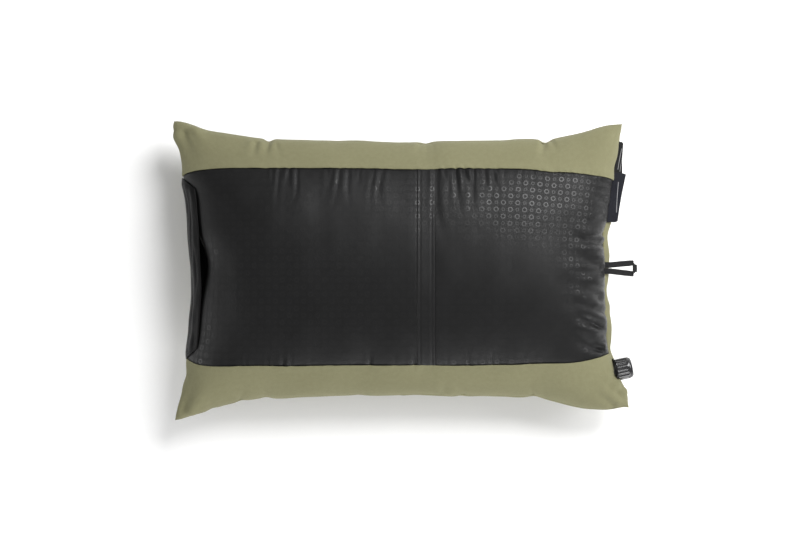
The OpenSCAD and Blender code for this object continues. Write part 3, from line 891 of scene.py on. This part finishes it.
def build_flap():
    rows, cols = 33, 150
    u = even_steps(lambda t: (200 * t, BACK_RISE * crown(t, 0 * t)), -1, -FLAP_EDGE_AT, rows - 1)
    u = np.repeat(u[:, None], cols, 1)
    s = np.linspace(-1, 1, cols)[None, :]
    go = (u + 1) / (1 - FLAP_EDGE_AT)
    y = s * (FLAP_ROOT_HALF + (FLAP_EDGE_HALF - FLAP_ROOT_HALF) * go)
    v = y / half_width(u)
    p = settled(layer(u, v, -1.9, BACK_RISE + 1.9), u, v)
    out = normals_of(p)
    wrinkle = 0.7 * patchy(go * 5, y, 1.2, 26, 61) + 0.35 * patchy(go * 5, y, 0.7, 11, 62)
    wrinkle = wrinkle + 0.5 * patchy(go * 14, y, 1.5, 34, 64)
    edge_wave = 0.6 * patchy(y, 0 * y, 17, 1, 63) * go
    ends = np.clip((1 - np.abs(s)) * 14, 0, 1)
    lift = (0.9 + wrinkle * np.sin(go * math.pi) ** 0.7 + 0.5 * edge_wave) * ends - 0.4 * (1 - ends)
    p = p + out * lift[..., None]
    p[..., 0] += (edge_wave + 0.8 * go ** 3) * ends
    p[-1, :, 2] -= 0.9
    name = "sack_flap"
    mesh = grid_mesh(name, p, flat_lengths(p))
    obj = added(name, mesh, BLACK_FLAP_PAINTED_SHADE, replaces=[name], ride=False)
    thicken(obj, FLAP_THICKNESS, offset=0.0)
    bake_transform(obj)


build_flap()


# ---- Seam allowance, bladder and foam inside the cover ----

def outline(inset, count=360):
    """Closed loop of points round the cover, that far inside its edge."""
    t = np.linspace(0, 1, count, endpoint=False)
    run, one = np.sin((2 * t - 1) * math.pi / 2), np.ones(count)
    u = np.concatenate([run, one, -run, -one])
    v = np.concatenate([-one, run, one, -run])
    return settled(layer(u, v, inset, 0.0), u, v)[:, :2]


def ring_piece(name, inset, width, thickness, material, wave=0.0):
    outer, inner = outline(inset), outline(inset + width)
    half = thickness / 2
    z = wave * patchy(outer[:, 0], outer[:, 1], 9, 9, 71)
    loops = [
        (outer, half * 0.4), (outer * 0.6 + inner * 0.4, half), (inner, half * 0.6),
        (inner, -half * 0.6), (outer * 0.4 + inner * 0.6, -half), (outer, -half * 0.4),
    ]
    rings = [np.column_stack([xy, SEAM_HEIGHT + up + z]) for xy, up in loops]
    points = np.stack(rings + [rings[0]], 0)
    points = np.concatenate([points, points[:, :1]], 1)
    mesh = grid_mesh(name, points, flat_lengths(points), flip=True)
    obj = added(name, mesh, material, replaces=[name])
    weld_ends(obj, 1e-6)


ring_piece("cover_seam_allowance", 3.0, 3.5, 1.0, OLIVE, 0.15)
ring_piece("bladder_perimeter_weld", 7.0, 5.0, 1.1, FILM)


def skin(name, sign, inset, rise, floor=None, seed=0):
    u = np.sin(np.linspace(-1, 1, 121) * math.pi / 2)[:, None]
    v = np.sin(np.linspace(-1, 1, 81) * math.pi / 2)[None, :]
    u, v = np.broadcast_arrays(u, v)
    p = settled(layer(u, v, inset, sign * rise), u, v)
    if sign > 0:
        p[..., 2] -= 1.3 * pocket_drop(u, 0.94 * v) * crown(u, v)
    rim = np.clip(crown(u, v) * 3, 0, 1)
    p[..., 2] -= sign * 0.35 * rim * (1 + patchy(p[..., 0], p[..., 1], 18, 18, seed))
    if floor is not None:
        p[..., 2] = np.maximum(p[..., 2], floor)
    mesh = grid_mesh(name, p, flat_lengths(p), flip=sign < 0)
    obj = added(name, mesh, FILM, replaces=[name])
    thicken(obj, 0.8, levels=0)


skin("bladder_back_skin", 1, 12.0, 51.8, seed=81)
skin("bladder_front_skin", -1, 12.0, 47.8, floor=1.5, seed=82)


def build_web(name, u_web):
    v = np.sin(np.linspace(-1, 1, 41) * math.asin(0.93))[None, :]
    t = np.linspace(0, 1, 13)[:, None]
    v, t = np.broadcast_arrays(v, t)
    u = np.full(v.shape, u_web)
    foot = layer(u, v, 17.0, 18.0 - 46.4)
    roof = layer(u, v, 17.0, 51.0)
    roof[..., 2] -= 1.3 * pocket_drop(u, 0.94 * v) * crown(u, v)
    p = foot.copy()
    low, high = foot[..., 2] + 0.9, np.maximum(roof[..., 2] - 1.6, foot[..., 2] + 1.2)
    p[..., 2] = low + (high - low) * t
    p[..., 0] += 0.8 * np.sin(t * math.pi) * patchy(p[..., 1], p[..., 2], 30, 40, 91)
    obj = added(name, grid_mesh(name, p, flat_lengths(p)), FILM, replaces=[name])
    thicken(obj, 0.7, offset=0.0, levels=0)


build_web("baffle_web_left", -0.62)
build_web("baffle_web_middle", 0.03)
build_web("baffle_web_right", 0.62)


def build_foam():
    u = np.sin(np.linspace(-1, 1, 91) * math.pi / 2)[:, None]
    v = np.sin(np.linspace(-1, 1, 61) * math.pi / 2)[None, :]
    u, v = np.broadcast_arrays(u, v)
    top = layer(u, v, 17.0, 18.0 - 46.4)
    bottom = layer(u, v, 16.0, -46.4)
    bottom[..., 2] = np.maximum(bottom[..., 2], 2.8)
    closed = np.concatenate([top, bottom[::-1]], 0)
    closed = np.concatenate([closed, closed[:1]], 0)
    mesh = grid_mesh("foam_topper", closed, flat_lengths(closed))
    obj = added("foam_topper", mesh, FOAM, replaces=["foam_topper"])
    weld_ends(obj, 2e-5)


build_foam()


# ---- Valve ----

def valve_frame():
    """Rows are the valve's two cross directions and its axis; the last is its origin, in millimetres."""
    v = VALVE_OFFSET / (CASE_WIDTH / 2)
    start = np.array([float(half_length(v)), -VALVE_OFFSET, SEAM_HEIGHT])
    axis = np.array([math.cos(VALVE_TURN), math.sin(VALVE_TURN), 0.0])
    side = np.array([-math.sin(VALVE_TURN), math.cos(VALVE_TURN), 0.0])
    return side, np.array([0.0, 0.0, 1.0]), axis, start


def rounded_profile(corners, radius, steps=4):
    """Closed outline with each corner rounded; corners are (radius from the axis, height)."""
    points = np.array(corners, float)
    out = []
    for k in range(len(points)):
        here, before, after = points[k], points[k - 1], points[(k + 1) % len(points)]
        a, b = before - here, after - here
        cut_off = min(radius, 0.45 * np.linalg.norm(a), 0.45 * np.linalg.norm(b))
        start, end = here + a / np.linalg.norm(a) * cut_off, here + b / np.linalg.norm(b) * cut_off
        for t in np.linspace(0, 1, steps):
            out.append((1 - t) ** 2 * start + 2 * t * (1 - t) * here + t * t * end)
    return np.array(out)


def densified(profile, longest):
    out = []
    for k in range(len(profile)):
        a, b = profile[k], profile[(k + 1) % len(profile)]
        parts = max(1, int(math.ceil(np.linalg.norm(b - a) / longest)))
        out.extend(a + (b - a) * t for t in np.arange(parts) / parts)
    return np.array(out)


def turned(name, profile, count, shape=None):
    """A closed profile turned about the valve's axis; shape may change the radius round the turn."""
    side, up, axis, start = valve_frame()
    angle = np.linspace(0, 2 * math.pi, count, endpoint=False)[None, :]
    r, t = profile[:, 0][:, None], profile[:, 1][:, None]
    radius = r + 0 * angle if shape is None else shape(r, t, angle)
    along = axis * (t + 0 * angle)[..., None]
    across = side * (radius * np.cos(angle))[..., None]
    p = start + along + across + up * (radius * np.sin(angle))[..., None]
    p = np.concatenate([p, p[:, :1]], 1)
    p = np.concatenate([p, p[:1]], 0)
    return grid_mesh(name, p, p)


def build_knob():
    end = 17.3
    corners = [
        (7.4, 2.3), (10.4, 2.3), (10.4, 13.0), (9.9, 15.4), (8.5, end),
        (3.5, end), (3.5, 14.3), (8.8, 14.3), (8.8, 4.3), (7.4, 4.3),
    ]
    profile = densified(rounded_profile(corners, 0.75), 0.35)

    def fluted(r, t, angle):
        outside = window(r, 10.05, 20, 0.5) * window(t, 3.4, 12.4, 1.2)
        groove = (0.5 + 0.5 * np.cos(KNOB_FLUTES * angle)) ** 1.6
        return r - FLUTE_DEPTH * outside * groove
    mesh = turned("valve_knob", profile, 432, fluted)
    obj = added("valve_knob", mesh, KNOB, body="valve_knob", replaces=["valve_knob"])
    weld_ends(obj, 1e-6)


build_knob()

RECORD_NODES = {
    "valve_base": VALVE, "plug_seal": RUBBER, "knob_seal_ring": RUBBER, "valve_port_patch": BLACK_PLAIN_PAINTED_SHADE,
}
for node_name, node_look in RECORD_NODES.items():
    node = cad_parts[node_name]
    node.data.materials.clear()
    node.data.materials.append(node_look)


# ---- Trim in the valve end's seam ----

def seam_x(y):
    return half_length(np.abs(y) / (CASE_WIDTH / 2))


def build_loop():
    root = float(seam_x(0.0))
    strips = []
    rows, cols = 24, 7
    for side in (-1, 1):
        t = np.linspace(0, 1, rows)[:, None]
        w = np.linspace(-1, 1, cols)[None, :]
        x = root - SEWN_IN + t * 30.2 + 0 * w
        middle = side * (2.9 + 2.3 * np.clip((x - root) / 22, 0, 1))
        y = middle - 0.4 * t + w * 2.8 * (1 - 0.12 * np.clip((t - 0.9) * 10, 0, 1))
        z = SEAM_HEIGHT + 0.25 * np.sin(t * 7 + side) * t + 0.12 * (1 - w * w) + 0 * x
        strips.append(np.stack([x, y, z], -1))
    t = np.linspace(-1, 1, 15)[None, :]
    w = np.linspace(0, 1, cols)[:, None]
    half = 7.4 - 3.8 * np.clip(w * 1.6, 0, 1) ** 0.8
    x = root + 22.0 + 4.4 * w + 0 * t
    strips.append(np.stack([x, half * t - 0.4, SEAM_HEIGHT + 0.55 - 0.25 * t ** 2 + 0 * x], -1))
    meshes = []
    for k, strip in enumerate(strips):
        meshes.append(grid_mesh(f"loop_part_{k}", strip, flat_lengths(strip)))
    mesh = joined("hang_loop", meshes)
    obj = added("hang_loop", mesh, WEBBING, replaces=["hang_loop"], ride=False)
    thicken(obj, LOOP_THICKNESS, offset=0.0)
    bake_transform(obj)


def joined(name, meshes):
    """One mesh from several that each hold the cloth attribute."""
    points, faces, cloth, base = [], [], [], 0
    for mesh in meshes:
        co = np.zeros(len(mesh.vertices) * 3)
        mesh.vertices.foreach_get("co", co)
        place = np.zeros(len(mesh.vertices) * 3, np.float32)
        mesh.attributes["cloth"].data.foreach_get("vector", place)
        points.append(co.reshape(-1, 3))
        cloth.append(place)
        faces.extend([[base + k for k in polygon.vertices] for polygon in mesh.polygons])
        base += len(mesh.vertices)
        bpy.data.meshes.remove(mesh)
    whole = bpy.data.meshes.new(name)
    whole.from_pydata(np.concatenate(points).tolist(), [], faces)
    attribute = whole.attributes.new("cloth", "FLOAT_VECTOR", "POINT")
    attribute.data.foreach_set("vector", np.concatenate(cloth))
    whole.polygons.foreach_set("use_smooth", [True] * len(whole.polygons))
    return whole


build_loop()


def build_label(name, middle, length, low, high, corner, material, seed):
    rows, cols = 22, 48
    s = np.linspace(-1, 1, cols)[None, :]
    t = np.linspace(0, 1, rows)[:, None]
    y_root = middle + s * length / 2
    x_root = seam_x(y_root)
    reach = low + (high - low) * (s + 1) / 2
    round_low = 1 - np.clip((-s - (1 - 2 * corner / length)) / (2 * corner / length), 0, 1) ** 2 * 0.25
    round_high = 1 - np.clip((s - (1 - 2 * corner / length)) / (2 * corner / length), 0, 1) ** 2.2 * 0.45
    x = x_root - SEWN_IN + t * (reach * round_low * round_high + SEWN_IN)
    y = y_root + 0 * t - 0.4 * t * s
    z = SEAM_HEIGHT + t * (0.5 * patchy(y, x, 16, 9, seed) + 0.35 * np.sin(2.2 * s + seed))
    p = np.stack([x, y, z], -1)
    cloth = np.stack([x - x_root, y_root + 0 * x], -1)
    mesh = grid_mesh(name, p, cloth)
    obj = added(name, mesh, material, replaces=[name], ride=False)
    thicken(obj, LABEL_THICKNESS, offset=0.0)
    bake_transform(obj)


SIDE_BARS = [(6.0, 6.5, 53, 82)]
CARE_BARS = [(4.2, 4.6, 94, 114), (6.4, 6.8, 92, 110)]
SIDE_LABEL = label_look("side_label_tape", (0.0040, 0.0045, 0.0085), (0.0060, 0.0066, 0.0115), SIDE_BARS)
CARE_LABEL = label_look("care_label_tape", (0.0045, 0.0045, 0.0048), (0.0075, 0.0075, 0.0080), CARE_BARS)
build_label("side_label", 67.2, 48.0, 7.5, 13.0, 0.8, SIDE_LABEL, 101)
build_label("care_label", 104.0, 34.0, 9.6, 4.6, 2.5, CARE_LABEL, 102)


# ---- Stage ----

def build_floor():
    bpy.ops.mesh.primitive_plane_add(size=FLOOR_SIZE, location=(0, 0, 0))
    floor = bpy.context.object
    floor.name = "floor"
    floor.data.materials.append(floor_look())


def area_light(name, place, aim, size, power):
    data = bpy.data.lights.new(name, "AREA")
    data.shape = "DISK"
    data.size = size
    data.energy = power
    lamp = bpy.data.objects.new(name, data)
    bpy.context.scene.collection.objects.link(lamp)
    lamp.location = place
    lamp.rotation_euler = (Vector(aim) - Vector(place)).to_track_quat("-Z", "Y").to_euler()


def build_camera():
    data = bpy.data.cameras.new("camera")
    data.lens = CAMERA_LENS
    data.sensor_width = 36
    data.clip_end = 50
    camera = bpy.data.objects.new("camera", data)
    bpy.context.scene.collection.objects.link(camera)
    camera.location = (0, CAMERA_SHIFT, CAMERA_HEIGHT)
    bpy.context.scene.camera = camera


def build_world():
    world = bpy.data.worlds.new("studio")
    world.use_nodes = True
    world.node_tree.nodes["Background"].inputs[0].default_value = (1, 1, 1, 1)
    world.node_tree.nodes["Background"].inputs[1].default_value = WORLD_LIGHT
    bpy.context.scene.world = world
    bpy.context.scene.view_settings.view_transform = "Standard"
    bpy.context.scene.view_settings.look = "None"


build_floor()
area_light("key", (0.56, 0.74, 1.10), (0.02, 0, 0.03), 0.78, 21.5)
area_light("front", (0.55, -1.7, 0.42), (0, 0, 0.03), 1.3, 32)
area_light("left", (-1.7, -0.6, 0.4), (-0.3, 0, 0), 1.0, 12)
area_light("right", (1.25, 0.35, 0.85), (0.15, 0, 0.03), 0.7, 9)
build_world()
build_camera()
